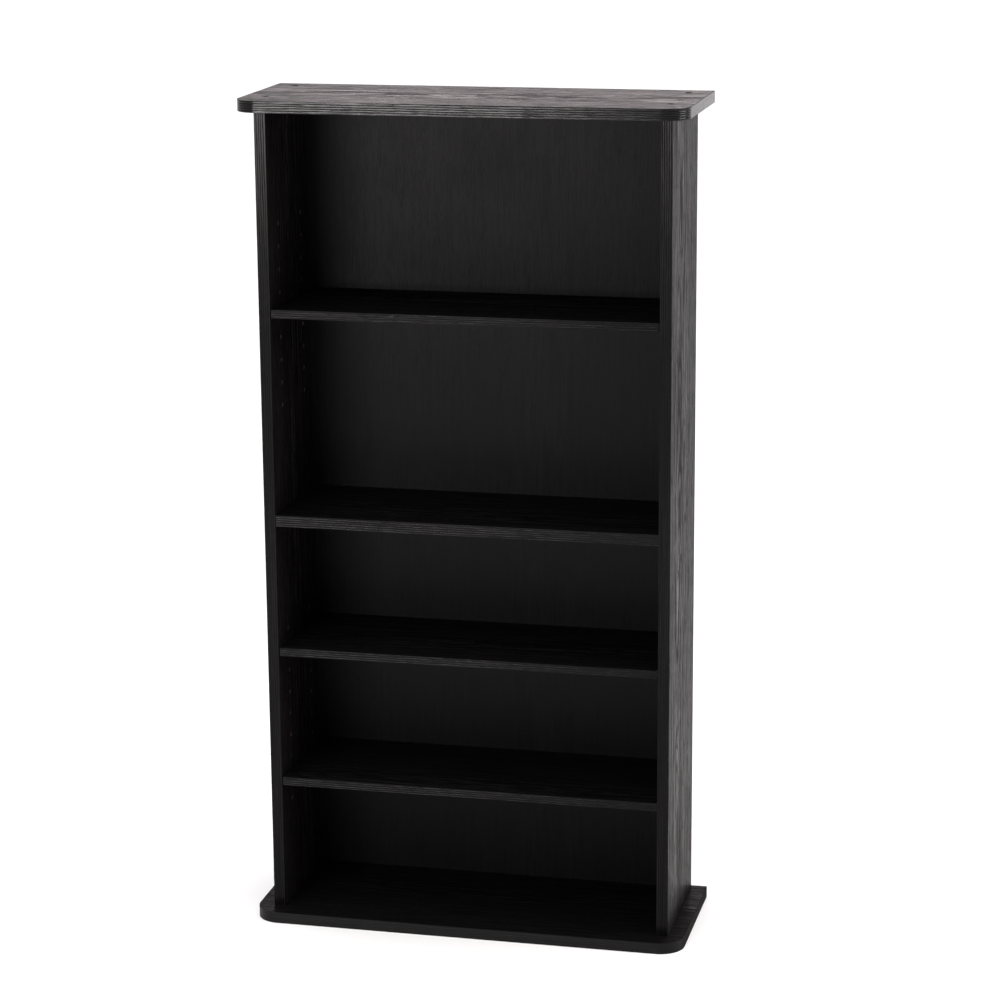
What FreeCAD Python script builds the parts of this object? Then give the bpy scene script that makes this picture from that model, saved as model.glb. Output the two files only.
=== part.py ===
import FreeCAD, Part
import os

# An open storage tower for discs, in black wood-grain board. Two sides stand between a base and a top
# that overhang them, a thin back sits in grooves, one fixed shelf ties the sides at mid height and three
# loose shelves rest on pins. Millimetres, +Z up, front towards -Y, origin on the floor under the middle.

V = FreeCAD.Vector

# Overall sizes
overall_width = 493.0
overall_depth = 182.0
overall_height = 933.0
cut_overrun = 3.0  # how far a cutting tool starts outside the face it enters

# Boards
board_thickness = 12.7
shelf_thickness = 9.5  # loose shelves
side_overhang = 18.5  # top and base past the outer face of each side
front_overhang = 22.5  # top and base past the sides' front edges
front_corner_radius = 28.0
blind_skin = 3.7  # board left behind a blind hole in its face

# Edging strips glued to the boards' edges
band_thickness = 0.6
band_round_share = 0.6  # rounding of a strip's outer edges, as a share of its thickness

# Back in its grooves
back_thickness = 3.0
back_inset = 6.0  # from the back plane to the groove
groove_depth = 5.0
groove_clearance = 0.2  # on each face of the back
groove_end_clearance = 0.3

# Shelves
shelf_front_setback = 1.0  # behind the sides' front edges
fixed_shelf_back_clearance = 0.3  # from the back's face
loose_shelf_back_clearance = 1.5
loose_shelf_end_clearance = 1.0
loose_shelf_seat_clearance = 0.1  # above the flats of its pins

# Rows of pin holes, the same in the upper and the lower bay, counted from the bay's middle row
pin_pitch = 25.4
pin_setback = 38.0  # from the sides' front and back edges, also for the cam bolts
middle_row_drop = 4.7  # middle row below the bay's middle
rows_each_way = 4
upper_shelf_row = 0
lower_shelf_row = 3
lowest_shelf_row = -3

# Shelf pins: a shank in the side, a collar and a peg with a flat on top
pin_diameter = 5.0
pin_clearance = 0.1
pin_end_clearance = 1.0
collar_lip = 2.0  # collar past the shank, as a radius
collar_thickness = 0.8
peg_lip = 1.0  # peg past the shank, as a radius
peg_length = 9.0
peg_round = 0.8

# Countersunk screws through the top and the base into the sides' ends
screw_setback = 25.0  # from the sides' front and back edges
screw_diameter = 4.0
screw_head_diameter = 7.0
screw_head_height = 2.4
screw_length = 40.0
screw_point_length = 5.0
screw_point_diameter = 0.8
screw_sink = 0.2  # head below the board's face
screw_clearance = 0.1
screw_pilot_spare = 2.0
recess_span = 3.8
recess_width = 0.9
recess_depth = 1.5

# Dowels between the boards
dowel_setback = 52.0  # from the sides' front and back edges
dowel_diameter = 6.0
dowel_length = 25.0
dowel_chamfer = 0.7
dowel_clearance = 0.1
dowel_end_clearance = 0.5

# Cam fittings that hold the fixed shelf
cam_diameter = 12.0
cam_backset = 24.0  # from the shelf's end to the cam's middle
cam_skin = 2.5  # shelf left above the cam
cam_sink = 0.2  # cam below the shelf's underside
cam_clearance = 0.15
cam_slot_span = 7.0
cam_slot_width = 1.4
cam_slot_depth = 1.8
bolt_thread_diameter = 5.0
bolt_neck_diameter = 3.5
bolt_head_diameter = 5.0
bolt_head_length = 3.0
bolt_end_clearance = 0.5

# Planes worked out from the sizes
front_plane = -overall_depth / 2
back_plane = overall_depth / 2
half_width = overall_width / 2
outer_half = half_width - side_overhang
inner_half = outer_half - board_thickness
side_middle = outer_half - board_thickness / 2
side_front = front_plane + front_overhang
base_top = board_thickness
top_underside = overall_height - board_thickness
bay_height = (top_underside - base_top - board_thickness) / 2
fixed_shelf_underside = base_top + bay_height
fixed_shelf_top = fixed_shelf_underside + board_thickness
fixed_shelf_middle = fixed_shelf_underside + board_thickness / 2
shelf_front = side_front + shelf_front_setback
groove_back = back_plane - back_inset
groove_front = groove_back - back_thickness - 2 * groove_clearance
back_face = groove_front + groove_clearance
back_half_width = inner_half + groove_depth - groove_end_clearance
blind_depth = board_thickness - blind_skin
lower_middle_row = base_top + bay_height / 2 - middle_row_drop
upper_middle_row = fixed_shelf_top + bay_height / 2 - middle_row_drop
band_round = band_thickness * band_round_share

# Places along the depth, front and back alike, and the two hands of what is mirrored
pin_places = (side_front + pin_setback, back_plane - pin_setback)
screw_places = (side_front + screw_setback, back_plane - screw_setback)
dowel_places = (side_front + dowel_setback, back_plane - dowel_setback)
hands = (-1, 1)
up = V(0, 0, 1)
down = V(0, 0, -1)


def block(x_span, y_span, z_span):
    low = V(x_span[0], y_span[0], z_span[0])
    return Part.makeBox(x_span[1] - low.x, y_span[1] - low.y, z_span[1] - low.z, low)


def drill(radius, mouth, axis, depth):
    # A hole of this depth below its mouth
    return Part.makeCylinder(radius, depth + cut_overrun, mouth - axis * cut_overrun, axis)


def group(solids):
    return Part.makeCompound(solids)


def board_outline(inset, z_span):
    # Top and base boards: square at the back, round at the two front corners
    half = half_width - inset
    front = front_plane + inset
    radius = front_corner_radius - inset
    bulge = radius - radius / 2 ** 0.5
    z = z_span[0]
    left_arc = Part.Arc(
        V(-half, front + radius, z), V(-half + bulge, front + bulge, z), V(-half + radius, front, z))
    right_arc = Part.Arc(
        V(half - radius, front, z), V(half - bulge, front + bulge, z), V(half, front + radius, z))
    edges = [
        Part.LineSegment(V(-half, back_plane, z), V(-half, front + radius, z)).toShape(),
        left_arc.toShape(),
        Part.LineSegment(V(-half + radius, front, z), V(half - radius, front, z)).toShape(),
        right_arc.toShape(),
        Part.LineSegment(V(half, front + radius, z), V(half, back_plane, z)).toShape(),
        Part.LineSegment(V(half, back_plane, z), V(-half, back_plane, z)).toShape(),
    ]
    return Part.Face(Part.Wire(edges)).extrude(V(0, 0, z_span[1] - z))


def board_band(z_span):
    # Strip round both ends and the front, with its outer edges rounded
    outer = board_outline(0, z_span)
    rims = [e for e in outer.Edges if e.BoundBox.ZLength < band_round and e.CenterOfMass.y < groove_back]
    return outer.makeFillet(band_round, rims).cut(board_outline(band_thickness, z_span))


def strip_band(x_span, z_span, front):
    # Straight strip on a front edge, its two long outer edges rounded
    strip = block(x_span, (front, front + band_thickness), z_span)
    length = max(x_span[1] - x_span[0], z_span[1] - z_span[0])
    middle = front + band_thickness / 2
    rims = [e for e in strip.Edges if e.Length > length / 2 and e.CenterOfMass.y < middle]
    return strip.makeFillet(band_round, rims)


def screw_seat(mouth, axis):
    # Countersunk hole through a board, in pieces
    head = screw_head_diameter / 2 + screw_clearance
    shank = screw_diameter / 2 + screw_clearance
    seat = mouth + axis * screw_sink
    return [
        drill(head, mouth, axis, screw_sink),
        Part.makeCone(head, shank, screw_head_height, seat, axis),
        drill(shank, seat, axis, board_thickness),
    ]


def screw(mouth, axis):
    head = screw_head_diameter / 2
    shank = screw_diameter / 2
    top = mouth + axis * screw_sink
    neck = top + axis * screw_head_height
    shank_length = screw_length - screw_head_height - screw_point_length
    body = Part.makeCone(head, shank, screw_head_height, top, axis).fuse([
        Part.makeCylinder(shank, shank_length, neck, axis),
        Part.makeCone(
            shank, screw_point_diameter / 2, screw_point_length, neck + axis * shank_length, axis),
    ])
    return body.cut(cross_recess(top, axis, recess_span, recess_width, recess_depth))


def cross_recess(mouth, axis, span, width, depth):
    # Two crossing slots in a face square to Z
    z_span = sorted((mouth.z - axis.z * cut_overrun, mouth.z + axis.z * depth))
    sizes = ((span, width), (width, span))
    return [
        block((mouth.x - a / 2, mouth.x + a / 2), (mouth.y - b / 2, mouth.y + b / 2), z_span)
        for a, b in sizes
    ]


def dowel(mouth, axis):
    # Axis points away from the board whose face holds the dowel's blind end
    start = mouth - axis * (blind_depth - dowel_end_clearance)
    rod = Part.makeCylinder(dowel_diameter / 2, dowel_length, start, axis)
    rims = [e for e in rod.Edges if e.isClosed()]
    return rod.makeChamfer(dowel_chamfer, rims)


def dowel_face_hole(mouth, axis):
    return drill(dowel_diameter / 2 + dowel_clearance, mouth, axis * -1, blind_depth)


def dowel_end_hole(mouth, axis):
    depth = dowel_length - blind_depth + 2 * dowel_end_clearance
    return drill(dowel_diameter / 2 + dowel_clearance, mouth, axis, depth)


def end_board(outer_z, inward):
    # Top or base board, with screw holes, blind dowel holes and the stopped groove for the back
    inner_z = outer_z + inward.z * board_thickness
    board = board_outline(band_thickness, sorted((outer_z, inner_z)))
    groove = block(
        (-back_half_width - groove_end_clearance, back_half_width + groove_end_clearance),
        (groove_front, groove_back),
        sorted((inner_z - inward.z * groove_depth, inner_z + inward.z * cut_overrun)))
    cuts = [groove]
    for hand in hands:
        for y in screw_places:
            cuts += screw_seat(V(hand * side_middle, y, outer_z), inward)
        for y in dowel_places:
            cuts.append(dowel_face_hole(V(hand * side_middle, y, inner_z), inward))
    return board.cut(cuts)


def row_heights(middle_row):
    return [middle_row + row * pin_pitch for row in range(-rows_each_way, rows_each_way + 1)]


def side_panel(hand):
    # Side board with its pin holes, the holes of its fittings and the groove for the back
    outward = V(hand, 0, 0)
    inner_x = hand * inner_half
    panel = block(
        sorted((inner_x, hand * outer_half)),
        (side_front + band_thickness, back_plane),
        (base_top, top_underside))
    groove = block(
        sorted((inner_x - hand * cut_overrun, inner_x + hand * groove_depth)),
        (groove_front, groove_back),
        (base_top - cut_overrun, top_underside + cut_overrun))
    cuts = [groove]
    for y in pin_places:
        for z in row_heights(lower_middle_row) + row_heights(upper_middle_row):
            cuts.append(drill(pin_diameter / 2 + pin_clearance, V(inner_x, y, z), outward, blind_depth))
        bolt = V(inner_x, y, fixed_shelf_middle)
        cuts.append(drill(bolt_thread_diameter / 2 + cam_clearance, bolt, outward, blind_depth))
    pilot = screw_length + screw_sink - board_thickness + screw_pilot_spare
    for end_z, inward in ((base_top, up), (top_underside, down)):
        for y in screw_places:
            cuts.append(drill(
                screw_diameter / 2 + screw_clearance, V(hand * side_middle, y, end_z), inward, pilot))
        for y in dowel_places:
            cuts.append(dowel_end_hole(V(hand * side_middle, y, end_z), inward))
    for y in dowel_places:
        cuts.append(dowel_face_hole(V(inner_x, y, fixed_shelf_middle), outward * -1))
    return panel.cut(cuts)


def back_panel():
    reach = groove_depth - groove_end_clearance
    return block(
        (-back_half_width, back_half_width),
        (back_face, back_face + back_thickness),
        (base_top - reach, top_underside + reach))


def fixed_shelf():
    # Fixed shelf with cam bores in its underside, bolt bores and dowel holes in its ends
    shelf = block(
        (-inner_half, inner_half),
        (shelf_front + band_thickness, back_face - fixed_shelf_back_clearance),
        (fixed_shelf_underside, fixed_shelf_top))
    cam_depth = board_thickness - cam_skin
    cuts = []
    for hand in hands:
        inward = V(-hand, 0, 0)
        for y in pin_places:
            mouth = V(hand * inner_half, y, fixed_shelf_middle)
            cuts.append(drill(bolt_head_diameter / 2 + cam_clearance, mouth, inward, cam_backset))
            cam_mouth = V(hand * (inner_half - cam_backset), y, fixed_shelf_underside)
            cuts.append(drill(cam_diameter / 2 + cam_clearance, cam_mouth, up, cam_depth))
        for y in dowel_places:
            cuts.append(dowel_end_hole(V(hand * inner_half, y, fixed_shelf_middle), inward))
    return shelf.cut(cuts)


def cam_bolt(hand, y):
    # Threaded end in the side, neck through the shelf's end, head in the cam
    inward = V(-hand, 0, 0)
    mouth = V(hand * inner_half, y, fixed_shelf_middle)
    thread_length = blind_depth - bolt_end_clearance
    head_start = cam_backset - bolt_head_length / 2
    return Part.makeCylinder(
        bolt_thread_diameter / 2, thread_length, mouth - inward * thread_length, inward).fuse([
            Part.makeCylinder(bolt_neck_diameter / 2, head_start, mouth, inward),
            Part.makeCylinder(
                bolt_head_diameter / 2, bolt_head_length, mouth + inward * head_start, inward),
        ])


def cam_lock(hand, y):
    # Round lock with a driver slot below and a pocket that grips the bolt's head
    inward = V(-hand, 0, 0)
    bolt_mouth = V(hand * inner_half, y, fixed_shelf_middle)
    centre = bolt_mouth + inward * cam_backset
    foot = V(centre.x, y, fixed_shelf_underside + cam_sink)
    height = board_thickness - cam_skin - cam_sink - cam_clearance
    pocket_start = centre - inward * (bolt_head_length / 2 + cam_clearance)
    cuts = cross_recess(foot, up, cam_slot_span, cam_slot_width, cam_slot_depth)
    cuts.append(Part.makeCylinder(bolt_neck_diameter / 2 + cam_clearance, cam_backset, bolt_mouth, inward))
    cuts.append(Part.makeCylinder(
        bolt_head_diameter / 2 + cam_clearance, bolt_head_length + 2 * cam_clearance, pocket_start, inward))
    return Part.makeCylinder(cam_diameter / 2, height, foot, up).cut(cuts)


def shelf_pin(hand, y, row_z):
    # Round shank in the side, collar against it, peg into the bay, both flat on top
    outward = V(hand, 0, 0)
    inward = outward * -1
    wall = V(hand * inner_half, y, row_z)
    shank_radius = pin_diameter / 2
    collar_radius = shank_radius + collar_lip
    peg = Part.makeCylinder(shank_radius + peg_lip, peg_length, wall, inward)
    tip = max(peg.Faces, key=lambda face: (face.CenterOfMass - wall).dot(inward))
    peg = peg.makeFillet(peg_round, tip.Edges)
    pin = peg.fuse([
        Part.makeCylinder(collar_radius, collar_thickness, wall, inward),
        Part.makeCylinder(shank_radius, blind_depth - pin_end_clearance, wall, outward),
    ])
    flat = block(
        sorted((wall.x, wall.x - hand * (peg_length + cut_overrun))),
        (y - collar_radius - cut_overrun, y + collar_radius + cut_overrun),
        (row_z + shank_radius, row_z + collar_radius + cut_overrun))
    return pin.cut(flat)


def loose_shelf(row_z):
    # Board and edging strip of a shelf that lies on the flats of its four pins
    half = inner_half - loose_shelf_end_clearance
    underside = row_z + pin_diameter / 2 + loose_shelf_seat_clearance
    z_span = (underside, underside + shelf_thickness)
    board = block(
        (-half, half), (shelf_front + band_thickness, back_face - loose_shelf_back_clearance), z_span)
    return board, strip_band((-half, half), z_span, shelf_front)


def side_edge_band(hand):
    x_span = sorted((hand * inner_half, hand * outer_half))
    return strip_band(x_span, (base_top, top_underside), side_front)


def end_screws(outer_z, inward):
    return group([screw(V(hand * side_middle, y, outer_z), inward) for hand in hands for y in screw_places])


def end_dowels(inner_z, inward):
    return group([dowel(V(hand * side_middle, y, inner_z), inward) for hand in hands for y in dowel_places])


parts = {
    "base_panel": end_board(0, up),
    "base_edge_band": board_band((0, base_top)),
    "top_panel": end_board(overall_height, down),
    "top_edge_band": board_band((top_underside, overall_height)),
    "left_side_panel": side_panel(-1),
    "left_side_edge_band": side_edge_band(-1),
    "right_side_panel": side_panel(1),
    "right_side_edge_band": side_edge_band(1),
    "back_panel": back_panel(),
    "fixed_shelf": fixed_shelf(),
    "fixed_shelf_edge_band": strip_band(
        (-inner_half, inner_half), (fixed_shelf_underside, fixed_shelf_top), shelf_front),
    "fixed_shelf_dowels": group([
        dowel(V(hand * inner_half, y, fixed_shelf_middle), V(-hand, 0, 0))
        for hand in hands for y in dowel_places]),
    "cam_bolts": group([cam_bolt(hand, y) for hand in hands for y in pin_places]),
    "cam_locks": group([cam_lock(hand, y) for hand in hands for y in pin_places]),
    "base_screws": end_screws(0, up),
    "base_dowels": end_dowels(base_top, up),
    "top_screws": end_screws(overall_height, down),
    "top_dowels": end_dowels(top_underside, down),
}

loose_shelf_rows = {
    "upper_shelf": upper_middle_row + upper_shelf_row * pin_pitch,
    "lower_shelf": lower_middle_row + lower_shelf_row * pin_pitch,
    "lowest_shelf": lower_middle_row + lowest_shelf_row * pin_pitch,
}
for name, row_z in loose_shelf_rows.items():
    parts[name], parts[name + "_edge_band"] = loose_shelf(row_z)
    parts[name + "_pins"] = group([shelf_pin(hand, y, row_z) for hand in hands for y in pin_places])

os.makedirs("parts", exist_ok=True)
for name, shape in parts.items():
    shape.exportStep(os.path.join("parts", name + ".step"))
    print(name, len(shape.Solids), "solids", round(shape.Volume), "cubic mm", shape.isValid())
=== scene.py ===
import math

import bpy
import numpy as np
from mathutils import Matrix, Vector


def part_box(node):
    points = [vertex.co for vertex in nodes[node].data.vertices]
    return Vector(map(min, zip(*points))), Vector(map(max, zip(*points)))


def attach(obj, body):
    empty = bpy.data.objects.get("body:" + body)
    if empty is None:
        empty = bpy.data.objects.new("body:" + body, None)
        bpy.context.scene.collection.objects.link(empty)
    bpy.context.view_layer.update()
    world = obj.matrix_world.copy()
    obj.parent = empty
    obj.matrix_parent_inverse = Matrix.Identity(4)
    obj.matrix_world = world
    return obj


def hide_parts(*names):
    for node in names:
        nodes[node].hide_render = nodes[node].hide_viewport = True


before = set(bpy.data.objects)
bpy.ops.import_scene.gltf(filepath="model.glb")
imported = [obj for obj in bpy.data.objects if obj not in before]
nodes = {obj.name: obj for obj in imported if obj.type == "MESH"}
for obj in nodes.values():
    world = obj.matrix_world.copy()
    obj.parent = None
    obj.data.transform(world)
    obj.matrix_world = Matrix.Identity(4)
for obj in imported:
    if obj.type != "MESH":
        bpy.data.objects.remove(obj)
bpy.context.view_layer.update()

# Disc storage tower in black ash board. The CAD boards and fittings stay as they are and get their
# finishes here. The edging strips are rebuilt with their pressed grain lines.

looseShelves = ("upper_shelf", "lower_shelf", "lowest_shelf")
print("frame loaded,", len(nodes), "nodes")


# Small helpers for node trees

def addNode(tree, kind, inputs=None, **settings):
    node = tree.nodes.new(kind)
    for key, value in settings.items():
        setattr(node, key, value)
    for key, value in (inputs or {}).items():
        if isinstance(value, bpy.types.NodeSocket):
            tree.links.new(value, node.inputs[key])
        else:
            node.inputs[key].default_value = value
    return node


def calc(tree, operation, first, second=0.0, clamp=False):
    inputs = {0: first, 1: second}
    return addNode(tree, "ShaderNodeMath", inputs, operation=operation, use_clamp=clamp).outputs[0]


def addUp(tree, *pairs):
    # Sum of the products of each pair
    total, *others = [calc(tree, "MULTIPLY", *pair) for pair in pairs]
    for product in others:
        total = calc(tree, "ADD", total, product)
    return total


def remap(tree, value, low, high, newLow=0.0, newHigh=1.0, smooth=True):
    kind = "SMOOTHSTEP" if smooth else "LINEAR"
    inputs = {"Value": value, "From Min": low, "From Max": high, "To Min": newLow, "To Max": newHigh}
    return addNode(tree, "ShaderNodeMapRange", inputs, interpolation_type=kind).outputs["Result"]


def mixColour(tree, factor, first, second):
    inputs = {0: factor, 6: (*first, 1.0) if isinstance(first, tuple) else first, 7: (*second, 1.0)}
    return addNode(tree, "ShaderNodeMix", inputs, data_type="RGBA").outputs[2]


def vectorCalc(tree, operation, *values):
    return addNode(tree, "ShaderNodeVectorMath", dict(enumerate(values)), operation=operation).outputs


def noise(tree, vector, stretch, detail, roughness):
    # stretch is how many features there are to the metre along each axis
    scaled = vectorCalc(tree, "MULTIPLY", vector, stretch)[0]
    inputs = {"Vector": scaled, "Scale": 1.0, "Detail": detail, "Roughness": roughness}
    return addNode(tree, "ShaderNodeTexNoise", inputs).outputs["Fac"]


def noiseLayer(tree, vector, stretch, detail, roughness, low, high):
    # Noise with its span from low to high spread over 0 to 1
    return remap(tree, noise(tree, vector, stretch, detail, roughness), low, high)


def ramp(tree, value, stops):
    node = addNode(tree, "ShaderNodeValToRGB", {"Fac": value})
    elements = node.color_ramp.elements
    while len(elements) < len(stops):
        elements.new(0.5)
    for element, (place, colour) in zip(elements, stops):
        element.position = place
        element.color = (*colour, 1.0)
    return node.outputs["Color"]


def newGroup(name, inputs, outputs):
    tree = bpy.data.node_groups.new(name, "ShaderNodeTree")
    for label, kind, value in inputs:
        tree.interface.new_socket(label, in_out="INPUT", socket_type=kind).default_value = value
    for label in outputs:
        tree.interface.new_socket(label, in_out="OUTPUT", socket_type=floatSocket)
    return tree, tree.nodes.new("NodeGroupInput").outputs, tree.nodes.new("NodeGroupOutput")


def placeGroup(tree, group, inputs):
    return addNode(tree, "ShaderNodeGroup", inputs, node_tree=group).outputs


def objectPlace(tree):
    return addNode(tree, "ShaderNodeTexCoord").outputs["Object"]


def splitVector(tree, vector):
    return addNode(tree, "ShaderNodeSeparateXYZ", {0: vector}).outputs


def newMaterial(name):
    material = bpy.data.materials.new(name)
    material.use_nodes = True
    tree = material.node_tree
    return material, tree, tree.nodes["Principled BSDF"]


def addBump(tree, shader, height, distance, strength):
    inputs = {"Height": height, "Distance": distance, "Strength": strength}
    tree.links.new(addNode(tree, "ShaderNodeBump", inputs).outputs["Normal"], shader.inputs["Normal"])


floatSocket = "NodeSocketFloat"
vectorSocket = "NodeSocketVector"
noVector = (0.0, 0.0, 0.0)


# Wood grain shared by the boards, the back's facing, the edging strips and the dowels

grainSettings = {
    # noises: features to the metre along, across and through the grain, detail and roughness
    "waver": ((2.4, 8.0, 8.0), 2.0, 0.5), "waverReach": 0.007,
    "rise": ((3.1, 4.0, 4.0), 2.0, 0.45), "riseReach": 0.085,
    "pore": ((52.0, 1150.0, 1150.0), 1.0, 0.5), "poreFrom": 0.55, "poreTo": 0.63,
    "poreCrowding": 0.1, "poreDepth": 0.7,
    # layers: the same, then the span of noise that becomes 0 to 1
    "flame": ((4.2, 52.0, 52.0), 2.0, 0.5, 0.36, 0.6), "flameShare": 0.16,
    "streak": ((6.0, 150.0, 150.0), 5.0, 0.62, 0.35, 0.62), "streakShare": 0.42,
    "thread": ((22.0, 470.0, 470.0), 3.0, 0.6, 0.35, 0.62), "threadShare": 0.3, "threadHeight": 0.35,
    "fibre": ((120.0, 2600.0, 2600.0), 1.0, 0.5, 0.3, 0.7), "fibreShare": 0.2, "fibreHeight": 0.12,
    "mark": ((18.0, 280.0, 280.0), 3.0, 0.6, 0.57, 0.62), "markDepth": 0.8,
    "ringCount": 112.0, "ringWander": 2.0, "ringFade": 2.3, "ringStart": 0.1,
    "crownFrom": 0.018, "crownTo": 0.052, "plainShare": 0.22, "figureLevel": 0.15, "toneHeight": 0.4,
}


def buildGrainGroup():
    # Tone = flames + streaks + threads + fibres - rings - marks, all but the rings noise drawn out along the
    # vector's X. Rings follow sqrt(across^2 + rise^2) from a heart line, and rise swings along the board, so they
    # run straight at the sides and close into arches and eyes in the middle. Each starts dark and fades away.
    # Pores are short dashes that crowd along the rings. Crown is the share of figure, full near the heart line
    # and small where the grain runs plain.
    s = grainSettings
    tree, given, result = newGroup(
        "ashGrain",
        [("Vector", vectorSocket, noVector), ("Across", floatSocket, 0.0), ("Ring Strength", floatSocket, 0.4)],
        ["Tone", "Pores", "Height"])
    vector = given["Vector"]

    def swing(value, reach):
        return calc(tree, "MULTIPLY", calc(tree, "SUBTRACT", value, 0.5), 2 * reach)

    waver = noise(tree, vector, *s["waver"])
    shift = swing(waver, s["waverReach"])
    aside = addNode(tree, "ShaderNodeCombineXYZ", {"Y": shift, "Z": shift}).outputs[0]
    wavy = vectorCalc(tree, "ADD", vector, aside)[0]
    layers = ("flame", "streak", "thread", "fibre", "mark")
    flame, streak, thread, fibre, mark = (noiseLayer(tree, wavy, *s[name]) for name in layers)

    rise = swing(noise(tree, vector, *s["rise"]), s["riseReach"])
    heart = calc(tree, "ADD", given["Across"], shift)
    crown = remap(tree, calc(tree, "ABSOLUTE", heart), s["crownFrom"], s["crownTo"], 1.0, s["plainShare"])
    reach = calc(tree, "SQRT", addUp(tree, (heart, heart), (rise, rise)))
    age = calc(tree, "FRACT", addUp(tree, (reach, s["ringCount"]), (waver, s["ringWander"])))
    ring = calc(tree, "POWER", calc(tree, "SUBTRACT", 1.0, age), s["ringFade"])
    ring = calc(tree, "MULTIPLY", ring, remap(tree, age, 0.0, s["ringStart"]))

    crowd = calc(tree, "MULTIPLY", calc(tree, "SUBTRACT", ring, streak), s["poreCrowding"])
    pore = calc(tree, "ADD", noise(tree, wavy, *s["pore"]), crowd)
    pore = remap(tree, pore, s["poreFrom"], s["poreTo"])

    figure = addUp(tree, (streak, s["streakShare"]), (flame, s["flameShare"]))
    figure = calc(tree, "SUBTRACT", figure, calc(tree, "MULTIPLY", ring, given["Ring Strength"]))
    figure = calc(tree, "SUBTRACT", figure, calc(tree, "MULTIPLY", mark, s["markDepth"]))
    figure = calc(tree, "SUBTRACT", figure, s["figureLevel"])
    figure = calc(tree, "ADD", calc(tree, "MULTIPLY", figure, crown), s["figureLevel"])
    tone = calc(tree, "ADD", addUp(tree, (thread, s["threadShare"]), (fibre, s["fibreShare"])), figure, True)
    height = addUp(tree, (thread, s["threadHeight"]), (tone, s["toneHeight"]), (fibre, s["fibreHeight"]),
                   (pore, -s["poreDepth"]))
    for label, value in (("Tone", tone), ("Pores", pore), ("Height", height)):
        tree.links.new(value, result.inputs[label])
    return tree


knotSettings = {"ragged": ((38.0, 420.0, 420.0), 3.0, 0.6), "raggedReach": 1.2, "rim": 1.0, "core": 0.3}


def buildKnotGroup():
    # A dark lens in the grain, either a knot or painted shade round a screw: 1 inside, falling to 0 near
    # (along/length)^2 + (across/width)^2 = 1, with a rim that noise drawn out along the grain makes ragged
    s = knotSettings
    tree, given, result = newGroup(
        "grainKnot",
        [("Vector", vectorSocket, noVector), ("Centre", vectorSocket, noVector),
         ("Size", vectorSocket, (0.02, 0.004, 1.0))],
        ["Mask"])
    offset = vectorCalc(tree, "SUBTRACT", given["Vector"], given["Centre"])[0]
    share = vectorCalc(tree, "DIVIDE", offset, given["Size"])[0]
    reach = vectorCalc(tree, "LENGTH", share)["Value"]
    ragged = calc(tree, "SUBTRACT", noise(tree, given["Vector"], *s["ragged"]), 0.5)
    reach = calc(tree, "ADD", reach, calc(tree, "MULTIPLY", ragged, s["raggedReach"]))
    tree.links.new(remap(tree, reach, s["rim"], s["core"]), result.inputs["Mask"])
    return tree


handlingSettings = {"smear": ((11.0, 11.0, 11.0), 4.0, 0.62)}


def buildHandlingGroup():
    # Faint smears left by hands and cloths, as an offset to roughness
    tree, given, result = newGroup(
        "handlingSmears", [("Vector", vectorSocket, noVector), ("Amount", floatSocket, 0.05)], ["Roughness Offset"])
    smear = noise(tree, given["Vector"], *handlingSettings["smear"])
    offset = calc(tree, "MULTIPLY", calc(tree, "SUBTRACT", smear, 0.5), given["Amount"])
    tree.links.new(calc(tree, "MULTIPLY", offset, 2.0), result.inputs["Roughness Offset"])
    return tree


pressedSettings = {
    "fibre": ((900.0, 900.0, 900.0), 4.0, 0.65), "fibreShare": 0.4, "cellShare": 0.6, "cellDepth": 0.8,
}


def buildChipGroup():
    # Pressed wood chips: random flat cells with fibres over them
    s = pressedSettings
    tree, given, result = newGroup(
        "pressedChips", [("Vector", vectorSocket, noVector), ("Chip Count", floatSocket, 760.0)], ["Tone", "Height"])
    inputs = {"Vector": given["Vector"], "Scale": given["Chip Count"], "Randomness": 1.0}
    cells = addNode(tree, "ShaderNodeTexVoronoi", inputs).outputs
    cellTone = addNode(tree, "ShaderNodeSeparateColor", {0: cells["Color"]}).outputs[0]
    fibre = noise(tree, given["Vector"], *s["fibre"])
    tone = addUp(tree, (cellTone, s["cellShare"]), (fibre, s["fibreShare"]))
    height = calc(tree, "SUBTRACT", fibre, calc(tree, "MULTIPLY", cells["Distance"], s["cellDepth"]))
    tree.links.new(tone, result.inputs["Tone"])
    tree.links.new(height, result.inputs["Height"])
    return tree


grainGroup = buildGrainGroup()
knotGroup = buildKnotGroup()
handlingGroup = buildHandlingGroup()
chipGroup = buildChipGroup()
print("node groups built")


def smears(tree, place, amount):
    return placeGroup(tree, handlingGroup, {"Vector": place, "Amount": amount})["Roughness Offset"]


# Black ash laminate, one material for each board so that no two share the same sheet

ashSettings = {
    "deep": (0.0020, 0.0018, 0.0018), "middle": (0.0062, 0.0056, 0.0057), "light": (0.020, 0.0180, 0.0184),
    "matt": 0.62, "satin": 0.165, "poreMatt": 0.36, "poreDarkening": 0.7, "smears": 0.05,
    "bumpDistance": 0.0003, "bumpStrength": 0.75, "rings": 0.6, "lensDarkening": 0.9, "knotThrough": 10.0,
    "hazeRoughness": 0.4, "hazeTint": (1.0, 0.74, 0.79, 1.0),
}
grainAxes = {"X": "XYZ", "Z": "ZYX", "Z across X": "ZXY"}  # along, across and through the grain


def alongGrain(tree, place, axis):
    # The place with its parts in the order along, across and through the grain
    parts = splitVector(tree, place)
    ways = {way: parts[key] for way, key in zip("XYZ", grainAxes[axis])}
    return addNode(tree, "ShaderNodeCombineXYZ", ways).outputs[0]


def placeGrain(tree, vector, offset, heart, rings):
    shifted = vectorCalc(tree, "ADD", vector, offset)[0]
    across = calc(tree, "SUBTRACT", splitVector(tree, vector)["Y"], heart)
    return placeGroup(tree, grainGroup, {"Vector": shifted, "Across": across, "Ring Strength": rings})


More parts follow.
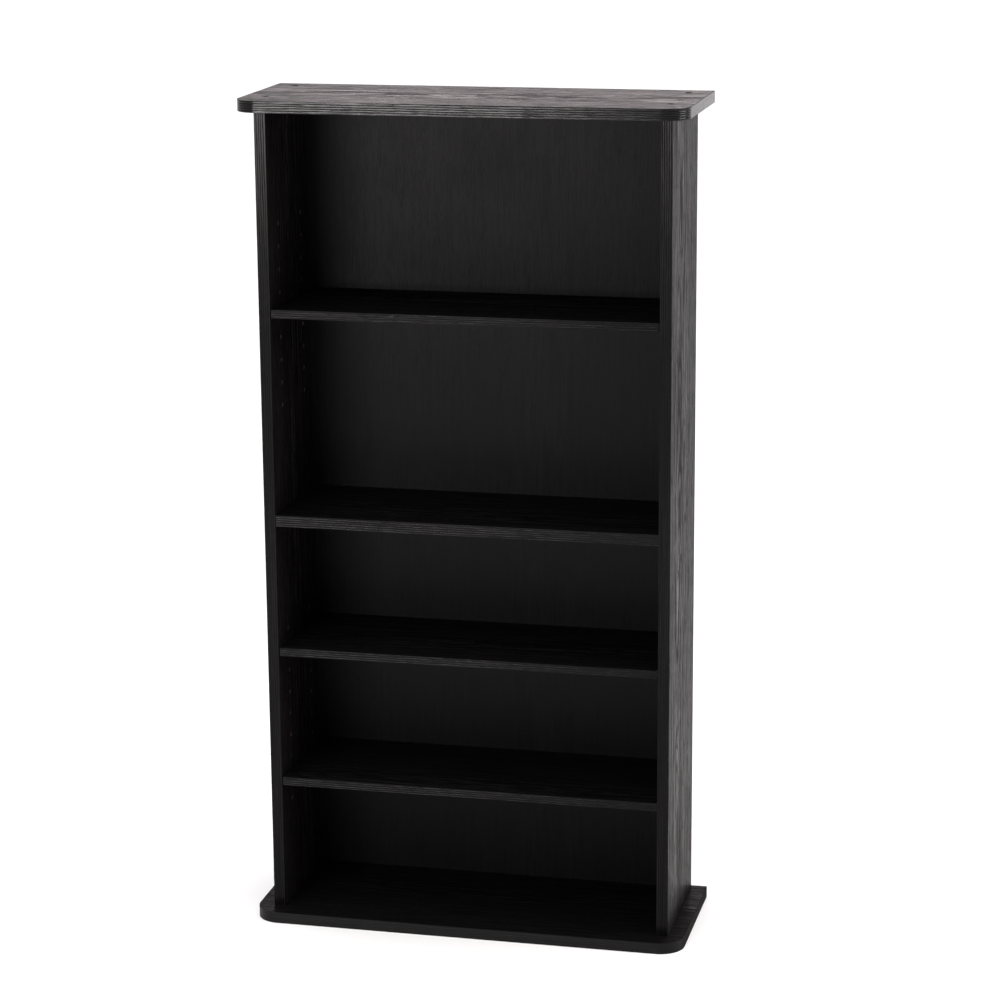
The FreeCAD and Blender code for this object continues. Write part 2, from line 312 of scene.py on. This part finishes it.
def makeAsh(name, board):
    s = ashSettings
    material, tree, shader = newMaterial(name)
    place = objectPlace(tree)
    vector = alongGrain(tree, place, board["grain"])
    grain = placeGrain(tree, vector, board["offset"], board["heart"], s["rings"])
    tone, pores = grain["Tone"], grain["Pores"]
    # knots in the grain, and on the top painted shade darkening the laminate round the screw recesses
    for along, across, halfLength, halfWidth in board.get("knotsAndScrewShade", ()):
        size = (halfLength, halfWidth, s["knotThrough"])
        inputs = {"Vector": vector, "Centre": (along, across, 0.0), "Size": size}
        mask = calc(tree, "MULTIPLY", placeGroup(tree, knotGroup, inputs)["Mask"], s["lensDarkening"])
        tone = calc(tree, "MULTIPLY", tone, calc(tree, "SUBTRACT", 1.0, mask))
    # painted shade: the board's painted shade factor darkens the colour of the base and the shelves
    shadedTone = calc(tree, "MULTIPLY", tone, board["paintedShade"])
    colour = ramp(tree, shadedTone, ((0.0, s["deep"]), (0.5, s["middle"]), (1.0, s["light"])))
    colour = mixColour(tree, calc(tree, "MULTIPLY", pores, s["poreDarkening"]), colour, s["deep"])
    tree.links.new(colour, shader.inputs["Base Color"])
    rough = remap(tree, tone, 0.0, 1.0, s["matt"], s["satin"], False)
    rough = calc(tree, "ADD", rough, calc(tree, "MULTIPLY", pores, s["poreMatt"]))
    rough = calc(tree, "ADD", rough, smears(tree, place, s["smears"]), True)
    tree.links.new(rough, shader.inputs["Roughness"])
    addBump(tree, shader, grain["Height"], s["bumpDistance"], s["bumpStrength"])
    shader.inputs["Specular IOR Level"].default_value = board["specular"]
    shader.inputs["Sheen Weight"].default_value = board["haze"]
    shader.inputs["Sheen Roughness"].default_value = s["hazeRoughness"]
    shader.inputs["Sheen Tint"].default_value = s["hazeTint"]
    return material


chipSettings = {
    "tones": ((0.15, (0.17, 0.112, 0.066)), (0.5, (0.30, 0.212, 0.132)), (0.85, (0.42, 0.32, 0.215))),
    "holeShade": (0.006, 0.005, 0.005), "darkRoughness": 0.9, "paleRoughness": 0.75,
    "bumpDistance": 0.0004, "bumpStrength": 0.8,
}


def makeChipboard(name, holeShade):
    # stain is how far the board is painted near-black: painted shade in the bores
    s = chipSettings
    material, tree, shader = newMaterial(name)
    chips = placeGroup(tree, chipGroup, {"Vector": objectPlace(tree)})
    colour = ramp(tree, chips["Tone"], s["tones"])
    tree.links.new(mixColour(tree, holeShade, colour, s["holeShade"]), shader.inputs["Base Color"])
    rough = remap(tree, chips["Tone"], 0.0, 1.0, s["darkRoughness"], s["paleRoughness"], False)
    tree.links.new(rough, shader.inputs["Roughness"])
    addBump(tree, shader, chips["Height"], s["bumpDistance"], s["bumpStrength"])
    return material


chipboard = makeChipboard("raw_chipboard", 0.0)
# painted shade: the bore walls are darkened nearly to black
shadedBoreWall = makeChipboard("bore_wall_painted_shade", 0.9)


def setMaterials(mesh, *materials):
    mesh.materials.clear()
    for material in materials:
        mesh.materials.append(material)


def polygonValues(mesh, label):
    values = np.empty(len(mesh.polygons) * 3, np.float32)
    mesh.polygons.foreach_get(label, values)
    return values.reshape(-1, 3)


def setLayers(mesh, layer):
    mesh.polygons.foreach_set("material_index", layer.astype(np.int32))
    mesh.update()


# A polygon is on a board's face if it is this square to it and this near, and on its edges within the rim
faceSettings = {"square": 0.99, "near": 1e-4, "rim": 0.012}


def dressBoard(name, material, faceAxis):
    # Laminate on the two faces square to faceAxis, board painted near-black in the bores as painted shade, raw board
    # on the edges
    s = faceSettings
    mesh = nodes[name].data
    setMaterials(mesh, material, chipboard, shadedBoreWall)
    centres = polygonValues(mesh, "center")
    low, high = (np.array(corner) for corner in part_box(name))
    inwards = np.minimum(np.abs(centres - low), np.abs(centres - high))
    turned = np.abs(polygonValues(mesh, "normal")[:, faceAxis])
    onFace = (turned > s["square"]) & (inwards[:, faceAxis] < s["near"])
    bored = np.delete(inwards, faceAxis, 1).min(1) > s["rim"]
    setLayers(mesh, np.where(onFace, 0, np.where(bored, 2, 1)))


# Each board: direction of its grain, how far its sheet is shifted, where its heart line runs, specular level, haze
# at glancing angles, painted shade darkening its print (below 1 on the base and shelves), and knots with painted
# shade round screws as (along, across, half length, half width) in metres
screwRecessShade = [(x, y, 0.0058, 0.0070) for x in (-0.2217, 0.2217) for y in (-0.0435, 0.066)]  # painted shade round the screw recesses, darker and also rougher
sideFinish = {"grain": "Z", "specular": 0.048, "haze": 0.010, "paintedShade": 1.0}
# painted shade: the shelves' colour is darkened to 0.65
shelfFinish = {"grain": "X", "specular": 0.026, "haze": 0.0, "paintedShade": 0.65}
boardSettings = {
    "top_panel": {
        "grain": "X", "offset": (0.31, 0.22, 0.0), "heart": -0.002, "specular": 0.142, "haze": 0.02, "paintedShade": 1.0,
        "knotsAndScrewShade": (
            (-0.075, -0.004, 0.036, 0.008), (0.104, 0.001, 0.024, 0.009), (-0.150, 0.010, 0.032, 0.005),
            (0.045, -0.016, 0.034, 0.004), (0.190, 0.0, 0.016, 0.006), *screwRecessShade)},
    # painted shade: the base's colour is darkened to 0.6
    "base_panel": {
        "grain": "X", "offset": (1.73, 0.61, 0.0), "heart": 0.03, "specular": 0.024, "haze": 0.0, "paintedShade": 0.6},
    "left_side_panel": {**sideFinish, "offset": (2.37, 1.13, 0.4), "heart": 0.018},
    "right_side_panel": {
        **sideFinish, "offset": (3.91, 1.57, 0.9), "heart": -0.012,
        "knotsAndScrewShade": (
            (0.806, -0.011, 0.050, 0.009), (0.737, -0.024, 0.018, 0.008), (0.650, -0.016, 0.016, 0.006),
            (0.612, -0.014, 0.024, 0.006), (0.567, -0.003, 0.028, 0.005), (0.501, -0.012, 0.016, 0.007),
            (0.469, 0.027, 0.008, 0.008), (0.430, 0.002, 0.008, 0.007), (0.325, -0.016, 0.014, 0.006),
            (0.234, -0.016, 0.013, 0.007), (0.100, -0.008, 0.060, 0.008))},
    "fixed_shelf": {**shelfFinish, "offset": (5.12, 2.04, 0.0), "heart": -0.02},
    "upper_shelf": {**shelfFinish, "offset": (6.45, 2.66, 0.0), "heart": 0.04},
    "lower_shelf": {**shelfFinish, "offset": (7.83, 3.12, 0.0), "heart": 0.0},
    "lowest_shelf": {**shelfFinish, "offset": (9.27, 3.71, 0.0), "heart": -0.05},
}
laminatedAxis = {"X": 2, "Z": 0}  # boards with grain along X lie flat, those with grain along Z stand facing X
for name, board in boardSettings.items():
    dressBoard(name, makeAsh("ash_" + name, board), laminatedAxis[board["grain"]])
print("boards dressed:", len(boardSettings))


# Back: black facing in front, bare fibre with its pressing screen's print behind

backSettings = {
    "black": (0.0030, 0.0028, 0.0028), "blackLight": (0.0052, 0.0048, 0.0049), "blackRoughness": 0.42,
    "blackSpecular": 0.058, "offset": (4.4, 0.0, 0.0), "heart": 0.06, "rings": 0.15, "smears": 0.06,
    "blackBump": (0.00012, 0.5), "frontTurn": -0.9,
    "brown": (0.115, 0.062, 0.033), "brownLight": (0.2, 0.118, 0.067), "brownBump": (0.00025, 0.6),
    "darkRoughness": 0.92, "paleRoughness": 0.78,
    # layers of noise as in the grain, here to the metre along X, Y and Z
    "cloud": ((9.0, 9.0, 9.0), 5.0, 0.65, 0.33, 0.67), "cloudShare": 0.3,
    "fleck": ((330.0, 330.0, 330.0), 2.0, 0.6, 0.6, 0.7), "fleckShare": 0.55,
    "sideThread": ((85.0, 1.0, 900.0), 2.0, 0.5, 0.56, 0.68),
    "upThread": ((900.0, 1.0, 85.0), 2.0, 0.5, 0.56, 0.68), "threadShare": 0.22,
    "fibreCount": 1400.0, "fibreShare": 0.5, "fibreHeight": 0.5, "screenCount": 640.0, "screenHeight": 0.25,
}


def makeBackFront():
    s = backSettings
    material, tree, shader = newMaterial("back_black_facing")
    place = objectPlace(tree)
    grain = placeGrain(tree, alongGrain(tree, place, "Z across X"), s["offset"], s["heart"], s["rings"])
    tree.links.new(mixColour(tree, grain["Tone"], s["black"], s["blackLight"]), shader.inputs["Base Color"])
    rough = calc(tree, "ADD", smears(tree, place, s["smears"]), s["blackRoughness"])
    tree.links.new(rough, shader.inputs["Roughness"])
    addBump(tree, shader, grain["Height"], *s["blackBump"])
    shader.inputs["Specular IOR Level"].default_value = s["blackSpecular"]
    return material


def makeBackRear():
    s = backSettings
    material, tree, shader = newMaterial("back_bare_fibre")
    place = objectPlace(tree)
    fibres = placeGroup(tree, chipGroup, {"Vector": place, "Chip Count": s["fibreCount"]})
    layers = ("cloud", "fleck", "sideThread", "upThread")
    cloud, fleck, *threads = (noiseLayer(tree, place, *s[name]) for name in layers)
    tone = addUp(tree, (fibres["Tone"], s["fibreShare"]), (cloud, s["cloudShare"]),
                 (calc(tree, "ADD", *threads), s["threadShare"]))
    tone = calc(tree, "SUBTRACT", tone, calc(tree, "MULTIPLY", fleck, s["fleckShare"]), True)
    tree.links.new(mixColour(tree, tone, s["brown"], s["brownLight"]), shader.inputs["Base Color"])
    parts = splitVector(tree, place)
    turns = 2 * math.pi * s["screenCount"]
    wires = [calc(tree, "SINE", calc(tree, "MULTIPLY", parts[key], turns)) for key in "XZ"]
    height = addUp(tree, (calc(tree, "ADD", *wires), s["screenHeight"]), (fibres["Height"], s["fibreHeight"]))
    addBump(tree, shader, height, *s["brownBump"])
    rough = remap(tree, tone, 0.0, 1.0, s["darkRoughness"], s["paleRoughness"], False)
    tree.links.new(rough, shader.inputs["Roughness"])
    return material


backMesh = nodes["back_panel"].data
setMaterials(backMesh, makeBackFront(), makeBackRear())
setLayers(backMesh, np.where(polygonValues(backMesh, "normal")[:, 1] < backSettings["frontTurn"], 0, 1))
print("back dressed")


# Edging strips with grain lines pressed into them

edgingSettings = {
    "step": 0.0015, "cornerSteps": 30, "faceSteps": 44, "roundSteps": 4, "roundShare": 0.3, "frontCorner": 0.028,
    "sharpAngle": 50.0, "endFocus": 16, "linePitch": 0.00245, "lineDepth": 0.00022, "lineSharpness": 2.0,
    "edgeFade": 0.25,
    # waves that move the lines: reach in pitches, wave length, slant across the strip, how the seed shifts them
    "drift": (0.14, 0.37, 0.0, 1.0), "ripple": (0.06, 0.061, 900.0, 2.3), "flutter": (0.035, 0.0173, 2600.0, 4.1),
    "rowShift": 0.37, "rowPhase": 5.7,
    # dashes: their depth, level, and the reach and wave length of the long and the short ones
    "dash": 0.28, "dashLevel": 0.5, "longDash": (0.4, 0.083), "shortDash": (0.3, 0.0271), "shortPhase": 2.2,
    "grainDraw": 0.4, "grainPlace": (0.7, 1.6, 0.0), "rings": 0.15, "pressedFull": 0.8, "pressedTone": 0.12,
    "deep": (0.0010, 0.0009, 0.0009), "middle": (0.0034, 0.0031, 0.0031), "light": (0.0105, 0.0096, 0.0096),
    "worn": (0.020, 0.019, 0.019), "wear": 0.25, "rub": ((160.0, 160.0, 160.0), 3.0, 0.5, 0.45, 0.75),
    "smears": 0.05, "bumpDistance": 0.0001, "bumpStrength": 0.4,
}


def boardPath(low, high, radius):
    # Round the left end, the front and the right end of a board: straights joined by quarter arcs
    s = edgingSettings
    turn = np.linspace(0.0, math.pi / 2, s["cornerSteps"] + 1)
    cos, sin = np.cos(turn), np.sin(turn)
    ends = np.linspace(high.y, low.y + radius, int((high.y - low.y - radius) / s["step"]) + 1)
    runX = np.linspace(low.x + radius, high.x - radius, int((high.x - low.x - 2 * radius) / s["step"]) + 1)
    left = np.stack([np.full_like(ends, low.x), ends], 1)
    leftArc = np.stack([low.x + radius - radius * cos, low.y + radius - radius * sin], 1)
    front = np.stack([runX, np.full_like(runX, low.y)], 1)
    rightArc = np.stack([high.x - radius + radius * sin, low.y + radius - radius * cos], 1)
    right = np.stack([np.full_like(ends, high.x), ends[::-1]], 1)
    points = np.concatenate([left, leftArc[1:], front[1:], rightArc[1:], right[1:]])
    outs = np.concatenate([
        np.tile([-1.0, 0.0], (len(left), 1)), np.stack([-cos, -sin], 1)[1:],
        np.tile([0.0, -1.0], (len(front) - 1, 1)), np.stack([sin, -cos], 1)[1:],
        np.tile([1.0, 0.0], (len(right) - 1, 1))])
    flat = np.zeros((len(points), 1))
    return np.hstack([points, flat + low.z]), np.hstack([outs, flat]), np.array([0.0, 0.0, 1.0]), high.z - low.z


def straightPath(low, high):
    # Along the strip's longest side, facing the front; its width is the other long side
    size = high - low
    run, wide = (0, 2) if size.x > size.z else (2, 0)
    count = int(size[run] / edgingSettings["step"]) + 1
    points = np.tile(np.array(low), (count, 1))
    points[:, run] = np.linspace(low[run], high[run], count)
    if run == 2:
        points = points[::-1]  # keeps the faces outwards
    across = np.zeros(3)
    across[wide] = 1.0
    return points, np.tile([0.0, -1.0, 0.0], (count, 1)), across, size[wide]


def pressedLines(along, across, width, seed):
    # Lines at linePitch that drift, ripple and flutter along the strip, each weakening and strengthening in
    # dashes: max(0, cos(2 pi row))^sharpness * (1 - dash * gap), with row = across / pitch + wander, fading at the
    # rounded edges
    s = edgingSettings
    turns = 2 * math.pi * along
    wander = 0.0
    for wave in ("drift", "ripple", "flutter"):
        reach, length, slant, seedShift = s[wave]
        wander = wander + reach * np.sin(turns / length + seedShift * seed + across * slant)
    row = across / s["linePitch"] + wander + s["rowShift"] * seed
    phase = s["rowPhase"] * np.round(row) + seed
    longReach, longLength = s["longDash"]
    shortReach, shortLength = s["shortDash"]
    gap = s["dashLevel"] + longReach * np.sin(turns / longLength + phase)
    gap = gap + shortReach * np.sin(turns / shortLength + s["shortPhase"] * phase)
    fade = np.clip(np.minimum(across, width - across) / (s["edgeFade"] * s["linePitch"]), 0.0, 1.0)
    groove = np.maximum(np.cos(2 * math.pi * row), 0.0) ** s["lineSharpness"]
    return groove * (1 - s["dash"] * np.clip(gap, 0.0, 1.0)) * fade


def edgingMesh(name, path, thickness, seed, endDulling):
    # A closed profile, flat behind, rounded at its two outer edges, carried along the path.
    # Point = path + across * a + outward * (b - depth * line)
    s = edgingSettings
    points, outs, acrossAxis, width = path
    rounding = thickness * s["roundShare"]
    turn = np.linspace(0.0, math.pi / 2, s["roundSteps"] + 1)
    cos, sin = np.cos(turn), np.sin(turn)
    face = np.linspace(rounding, width - rounding, s["faceSteps"] + 1)[1:-1]
    a = np.concatenate([[0.0], rounding * (1 - cos), face, width - rounding * (1 - sin), [width]])
    b = np.concatenate([[-thickness], rounding * (sin - 1), np.zeros_like(face), rounding * (cos - 1), [-thickness]])
    length = np.concatenate([[0.0], np.cumsum(np.linalg.norm(np.diff(points, axis=0), axis=1))])
    onFace = ((a >= rounding) & (a <= width - rounding) & (b > -1e-9)).astype(float)
    line = pressedLines(length[:, None], a[None, :], width, seed) * onFace
    depth = b[None, :] - s["lineDepth"] * line
    place = points[:, None, :] + a[None, :, None] * acrossAxis + depth[:, :, None] * outs[:, None, :]

    rings, sides = len(points), len(a)
    ring = np.arange(rings - 1)[:, None] * sides
    side = np.arange(sides)[None, :]
    after = (side + 1) % sides
    quads = np.stack([ring + side, ring + sides + side, ring + sides + after, ring + after], -1).reshape(-1, 4)
    caps = [list(range(sides)), list(range((rings - 1) * sides, rings * sides))[::-1]]
    mesh = bpy.data.meshes.new(name)
    mesh.from_pydata(place.reshape(-1, 3), [], quads.tolist() + caps)
    corner = np.empty(len(mesh.loops), np.int32)
    mesh.loops.foreach_get("vertex_index", corner)
    spread = np.stack([np.repeat(length, sides), np.tile(a, rings)], 1)
    mesh.uv_layers.new(name="strip").data.foreach_set("uv", spread[corner].astype(np.float32).ravel())
    arris = np.tile(np.clip(1 - np.minimum(a, width - a) / (2 * rounding), 0.0, 1.0), (rings, 1))
    dulled = np.maximum(arris, endDulling * outs[:, :1] ** s["endFocus"])  # arrises, ends of top and base
    for label, values in (("pressed", line), ("arris", arris), ("dulled", dulled)):
        layer = mesh.attributes.new(label, "FLOAT", "POINT")
        layer.data.foreach_set("value", values.ravel().astype(np.float32))
    mesh.shade_smooth()
    mesh.set_sharp_from_angle(angle=math.radians(s["sharpAngle"]))
    mesh.validate()
    return mesh


def makeEdging(name, finish):
    s = edgingSettings
    material, tree, shader = newMaterial(name)
    strip = addNode(tree, "ShaderNodeUVMap", uv_map="strip").outputs[0]
    place = objectPlace(tree)
    pressed, arris, dulled = (addNode(tree, "ShaderNodeAttribute", attribute_name=label).outputs["Fac"]
                              for label in ("pressed", "arris", "dulled"))
    spread = vectorCalc(tree, "MULTIPLY_ADD", strip, (s["grainDraw"], 1.0, 0.0), s["grainPlace"])[0]
    across = splitVector(tree, spread)["Y"]
    grain = placeGroup(tree, grainGroup, {"Vector": spread, "Across": across, "Ring Strength": s["rings"]})
    sunk = remap(tree, pressed, 0.0, s["pressedFull"], 1.0, s["pressedTone"])
    tone = calc(tree, "MULTIPLY", grain["Tone"], sunk)
    colour = ramp(tree, tone, ((0.0, s["deep"]), (0.45, s["middle"]), (1.0, s["light"])))
    rub = noiseLayer(tree, place, *s["rub"])
    worn = calc(tree, "MULTIPLY", calc(tree, "MULTIPLY", arris, rub), s["wear"])
    tree.links.new(mixColour(tree, worn, colour, s["worn"]), shader.inputs["Base Color"])
    rough = remap(tree, tone, 0.0, 1.0, finish["matt"], finish["satin"], False)
    rough = addNode(tree, "ShaderNodeMix", {0: dulled, 2: rough, 3: finish["dull"]}).outputs[0]
    rough = calc(tree, "ADD", rough, smears(tree, place, s["smears"]), True)
    tree.links.new(rough, shader.inputs["Roughness"])
    addBump(tree, shader, grain["Height"], s["bumpDistance"], s["bumpStrength"])
    shader.inputs["Specular IOR Level"].default_value = finish["specular"]
    return material


# The strips' finishes: roughness of the dark grain, of the pale grain and of the dulled parts, specular level
edgingFinishes = {
    "edging_black": {"matt": 0.26, "satin": 0.12, "dull": 0.72, "specular": 0.07},
    "edging_black_top": {"matt": 0.2, "satin": 0.09, "dull": 0.72, "specular": 0.165},
    "edging_black_base": {"matt": 0.5, "satin": 0.36, "dull": 1.0, "specular": 0.14},
}
edging, topEdging, baseEdging = (makeEdging(name, finish) for name, finish in edgingFinishes.items())
bandLow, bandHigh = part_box("left_side_edge_band")
bandThickness = (bandHigh - bandLow).y


def addEdging(node, body, seed, finish=edging, rounded=False, endDulling=0.0):
    low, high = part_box(node)
    path = boardPath(low, high, edgingSettings["frontCorner"]) if rounded else straightPath(low, high)
    mesh = edgingMesh(node.replace("_edge_band", "_edging"), path, bandThickness, seed, endDulling)
    mesh.materials.append(finish)
    piece = bpy.data.objects.new(mesh.name, mesh)
    bpy.context.scene.collection.objects.link(piece)
    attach(piece, body)
    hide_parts(node)


addEdging("top_edge_band", "carcass", 0.0, topEdging, rounded=True, endDulling=0.15)
addEdging("base_edge_band", "carcass", 1.3, baseEdging, rounded=True, endDulling=0.95)
addEdging("left_side_edge_band", "carcass", 2.1)
addEdging("right_side_edge_band", "carcass", 3.4)
addEdging("fixed_shelf_edge_band", "carcass", 4.2)
for number, shelf in enumerate(looseShelves):
    addEdging(shelf + "_edge_band", shelf, 5.0 + number)
print("edging strips rebuilt")


# Fittings

metalSettings = {
    "black_oxide": {"nodes": ("top_screws", "base_screws"), "dark": (0.0035, 0.0035, 0.0038),
                    "light": (0.011, 0.011, 0.0115), "roughness": 0.8, "metallic": 0.0, "specular": 0.02},
    "zinc_plate": {"nodes": ("cam_bolts",), "dark": (0.42, 0.40, 0.33), "light": (0.62, 0.60, 0.52),
                   "roughness": 0.34, "metallic": 1.0, "specular": 0.5},
    "cast_zinc": {"nodes": ("cam_locks",), "dark": (0.34, 0.34, 0.34), "light": (0.52, 0.52, 0.51),
                  "roughness": 0.5, "metallic": 1.0, "specular": 0.5},
    "nickel_plate": {"nodes": tuple(shelf + "_pins" for shelf in looseShelves), "dark": (0.46, 0.44, 0.41),
                     "light": (0.66, 0.64, 0.60), "roughness": 0.28, "metallic": 1.0, "specular": 0.5},
}
mottleSettings = {
    "mottle": ((700.0, 700.0, 700.0), 4.0, 0.6, 0.3, 0.7), "roughening": 0.08, "smears": 0.12,
    "bumpDistance": 0.00003, "bumpStrength": 0.4,
}


def makeMetal(name, s):
    m = mottleSettings
    material, tree, shader = newMaterial(name)
    place = objectPlace(tree)
    mottle = noiseLayer(tree, place, *m["mottle"])
    tree.links.new(mixColour(tree, mottle, s["dark"], s["light"]), shader.inputs["Base Color"])
    rough = calc(tree, "ADD", smears(tree, place, m["smears"]), s["roughness"])
    rough = calc(tree, "ADD", rough, calc(tree, "MULTIPLY", mottle, m["roughening"]), True)
    tree.links.new(rough, shader.inputs["Roughness"])
    addBump(tree, shader, mottle, m["bumpDistance"], m["bumpStrength"])
    shader.inputs["Metallic"].default_value = s["metallic"]
    shader.inputs["Specular IOR Level"].default_value = s["specular"]
    return material


beechSettings = {
    "nodes": ("top_dowels", "base_dowels", "fixed_shelf_dowels"), "heart": 0.4, "rings": 0.2,
    "tones": ((0.0, (0.36, 0.22, 0.11)), (0.5, (0.55, 0.37, 0.21)), (1.0, (0.68, 0.5, 0.31))),
    "darkRoughness": 0.78, "paleRoughness": 0.62, "bumpDistance": 0.0001, "bumpStrength": 0.5,
}


def makeBeech():
    s = beechSettings
    material, tree, shader = newMaterial("beech_dowel")
    grain = placeGrain(tree, alongGrain(tree, objectPlace(tree), "Z"), noVector, s["heart"], s["rings"])
    tree.links.new(ramp(tree, grain["Tone"], s["tones"]), shader.inputs["Base Color"])
    rough = remap(tree, grain["Tone"], 0.0, 1.0, s["darkRoughness"], s["paleRoughness"], False)
    tree.links.new(rough, shader.inputs["Roughness"])
    addBump(tree, shader, grain["Height"], s["bumpDistance"], s["bumpStrength"])
    return material


def coat(names, material):
    for name in names:
        setMaterials(nodes[name].data, material)


for name, settings in metalSettings.items():
    coat(settings["nodes"], makeMetal(name, settings))
coat(beechSettings["nodes"], makeBeech())
print("fittings dressed")


# Floor, light and camera

stageSettings = {
    "floorHalf": 40.0, "floorCells": 8, "floorColour": (0.97, 0.9615, 0.9636), "floorRoughness": 0.7,
    "dim": 0.25, "back": 3.2, "backAt": 88.0, "backFull": 18.0, "backEnd": 28.0, "tint": (1.0, 0.89, 0.915),
    "gap": 0.3, "gapFrom": 0.15, "gapTo": 0.32, "zenith": 1.75, "zenithFrom": 0.45, "zenithTo": 0.8, "backdrop": 1.1,
    "lampColour": (1.0, 0.96, 0.95),
}
# Lamps: place, aim, size and power
lampSettings = {
    "front_softbox": ((-0.78, -2.1, 0.78), (-0.05, 0.0, 0.78), (0.98, 0.42), 33.0),
    "right_strip": ((2.35, 0.0, 1.25), (0.2, 0.0, 0.9), (1.2, 0.5), 35.0),
}
cameraSettings = {
    "place": (0.7553, -3.1280, 1.2838), "yaw": 13.151, "pitch": -13.949, "roll": -0.415,
    "lens": 107.34, "sensor": 36.0, "farthest": 200.0,
}


def makeFloor():
    s = stageSettings
    half, count = s["floorHalf"], s["floorCells"] + 1
    marks = np.linspace(-half, half, count)
    grid = np.stack(np.meshgrid(marks, marks, [0.0], indexing="ij"), -1)
    ids = np.arange(count * count).reshape(count, count)
    quads = np.stack([ids[:-1, :-1], ids[1:, :-1], ids[1:, 1:], ids[:-1, 1:]], -1).reshape(-1, 4)
    mesh = bpy.data.meshes.new("studio_floor")
    mesh.from_pydata(grid.reshape(-1, 3), [], quads.tolist())
    material, tree, shader = newMaterial("studio_floor")
    shader.inputs["Base Color"].default_value = (*s["floorColour"], 1.0)
    shader.inputs["Roughness"].default_value = s["floorRoughness"]
    shader.inputs["Specular IOR Level"].default_value = 0.0
    mesh.materials.append(material)
    floor = bpy.data.objects.new("studio_floor", mesh)
    bpy.context.scene.collection.objects.link(floor)


def makeWorld():
    # Brightness by direction: a low bright backdrop behind, as wide as twice backFull in degrees and gone by
    # backEnd, a dim gap above it and a glow overhead
    s = stageSettings
    world = bpy.data.worlds.new("studio")
    world.use_nodes = True
    tree = world.node_tree
    parts = splitVector(tree, addNode(tree, "ShaderNodeTexCoord").outputs["Generated"])
    turn = calc(tree, "SUBTRACT", calc(tree, "ARCTAN2", parts["Y"], parts["X"]), math.radians(s["backAt"]))
    reach = math.radians(s["backFull"]), math.radians(s["backEnd"])
    around = remap(tree, calc(tree, "ABSOLUTE", turn), *reach, s["back"], s["dim"])
    low = remap(tree, parts["Z"], s["gapFrom"], s["gapTo"], 1.0, 0.0)
    gap = remap(tree, parts["Z"], s["gapFrom"], s["gapTo"], 0.0, s["gap"])
    glow = calc(tree, "ADD", calc(tree, "MULTIPLY", around, low), gap)
    zenith = remap(tree, parts["Z"], s["zenithFrom"], s["zenithTo"], 0.0, s["zenith"] - s["gap"])
    glow = calc(tree, "ADD", glow, zenith)
    seen = addNode(tree, "ShaderNodeLightPath").outputs["Is Camera Ray"]  # the camera itself sees plain white
    strength = addNode(tree, "ShaderNodeMix", {0: seen, 2: glow, 3: s["backdrop"]}).outputs[0]
    tree.links.new(strength, tree.nodes["Background"].inputs["Strength"])
    colour = mixColour(tree, calc(tree, "SUBTRACT", low, seen, True), (1.0, 1.0, 1.0), s["tint"])
    tree.links.new(colour, tree.nodes["Background"].inputs["Color"])
    bpy.context.scene.world = world


def makeLamp(name, place, aim, size, power):
    light = bpy.data.lights.new(name, "AREA")
    light.shape = "RECTANGLE"
    light.size, light.size_y = size
    light.energy = power
    light.color = stageSettings["lampColour"]
    lamp = bpy.data.objects.new(name, light)
    lamp.location = place
    lamp.rotation_euler = (Vector(aim) - Vector(place)).to_track_quat("-Z", "Y").to_euler()
    bpy.context.scene.collection.objects.link(lamp)


def makeCamera():
    s = cameraSettings
    data = bpy.data.cameras.new("photo_camera")
    data.lens = s["lens"]
    data.sensor_width = s["sensor"]
    data.clip_end = s["farthest"]
    camera = bpy.data.objects.new("photo_camera", data)
    yaw = Matrix.Rotation(math.radians(s["yaw"]), 4, "Z")
    pitch = Matrix.Rotation(math.radians(90 + s["pitch"]), 4, "X")
    roll = Matrix.Rotation(math.radians(s["roll"]), 4, "Z")
    camera.matrix_world = Matrix.Translation(s["place"]) @ (yaw @ pitch) @ roll
    bpy.context.scene.collection.objects.link(camera)
    bpy.context.scene.camera = camera


makeFloor()
makeWorld()
for name, settings in lampSettings.items():
    makeLamp(name, *settings)
makeCamera()
bpy.context.scene.view_settings.view_transform = "Standard"
print("stage, light and camera set")
